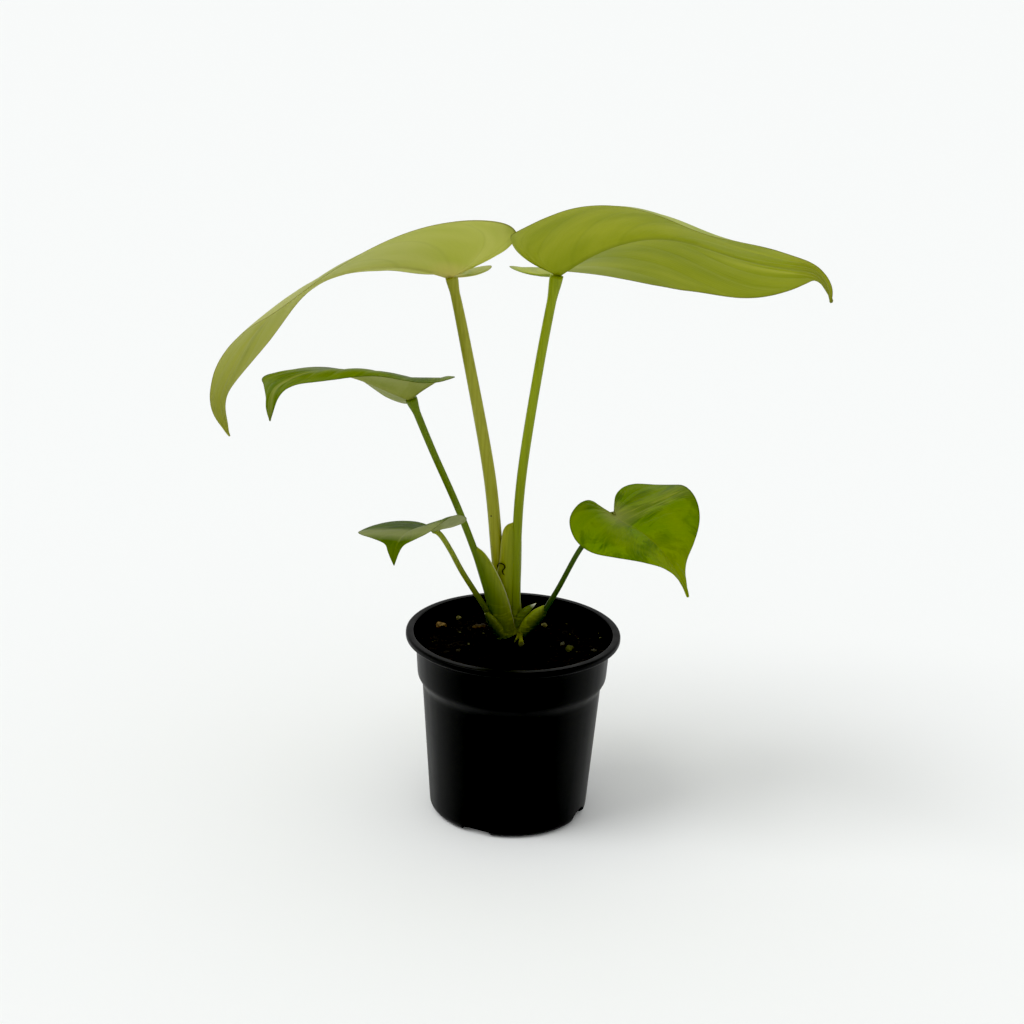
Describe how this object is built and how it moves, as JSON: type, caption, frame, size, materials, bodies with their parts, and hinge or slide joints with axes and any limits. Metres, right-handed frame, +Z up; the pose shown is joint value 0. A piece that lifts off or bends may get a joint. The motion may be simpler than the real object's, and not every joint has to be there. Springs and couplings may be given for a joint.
{
  "type": "potted super golden monstera",
  "caption": "Young aroid house plant with golden-green heart-shaped leaves on sheathed stalks, rooted in a black plastic nursery pot of barky potting soil; stands on its flat base.",
  "frame": {"origin": "centre of the pot's flat underside, at the surface that it stands on", "axes": "+Z up along the pot's axis, -Y the front that the picture shows, +X to the right in that view"},
  "size_m": [0.2991, 0.1269, 0.3288],
  "materials": {
    "black_plastic": "semi-gloss thermoformed black plastic",
    "soil": "dark moist potting mix of bark and coir",
    "bark": "dry broken bark",
    "pumice": "rough porous grain",
    "leaf_gold": "soft satin leaf, golden green, paler beneath",
    "leaf_green": "glossy leaf, mid green mottled with yellow green",
    "stalk_gold": "smooth fleshy stalk, yellow green",
    "stalk_green": "smooth fleshy stalk, green",
    "crown_tissue": "smooth green stem with scars"
  },
  "bodies": {
    "root": {"nursery_pot": "black_plastic", "potting_soil": "soil", "crown": "crown_tissue", "side_bud": "crown_tissue", "root_stub": "crown_tissue", "stalk_upper_left": "stalk_gold", "stalk_upper_right": "stalk_gold", "stalk_middle_left": "stalk_green", "stalk_small_left": "stalk_green", "stalk_lower_right": "stalk_green", "leaf_upper_left": "leaf_gold", "leaf_upper_right": "leaf_gold", "leaf_middle_left": "leaf_green", "leaf_small_left": "leaf_green", "leaf_lower_right": "leaf_green", "bark_chip_brown": "bark", "bark_chip_tan": "bark", "bark_chip_olive": "bark", "pumice_left_back": "pumice", "pumice_left_front": "pumice", "pumice_right_back": "pumice", "pumice_right_front": "pumice", "pumice_right_edge": "pumice"}
  },
  "joints": []
}
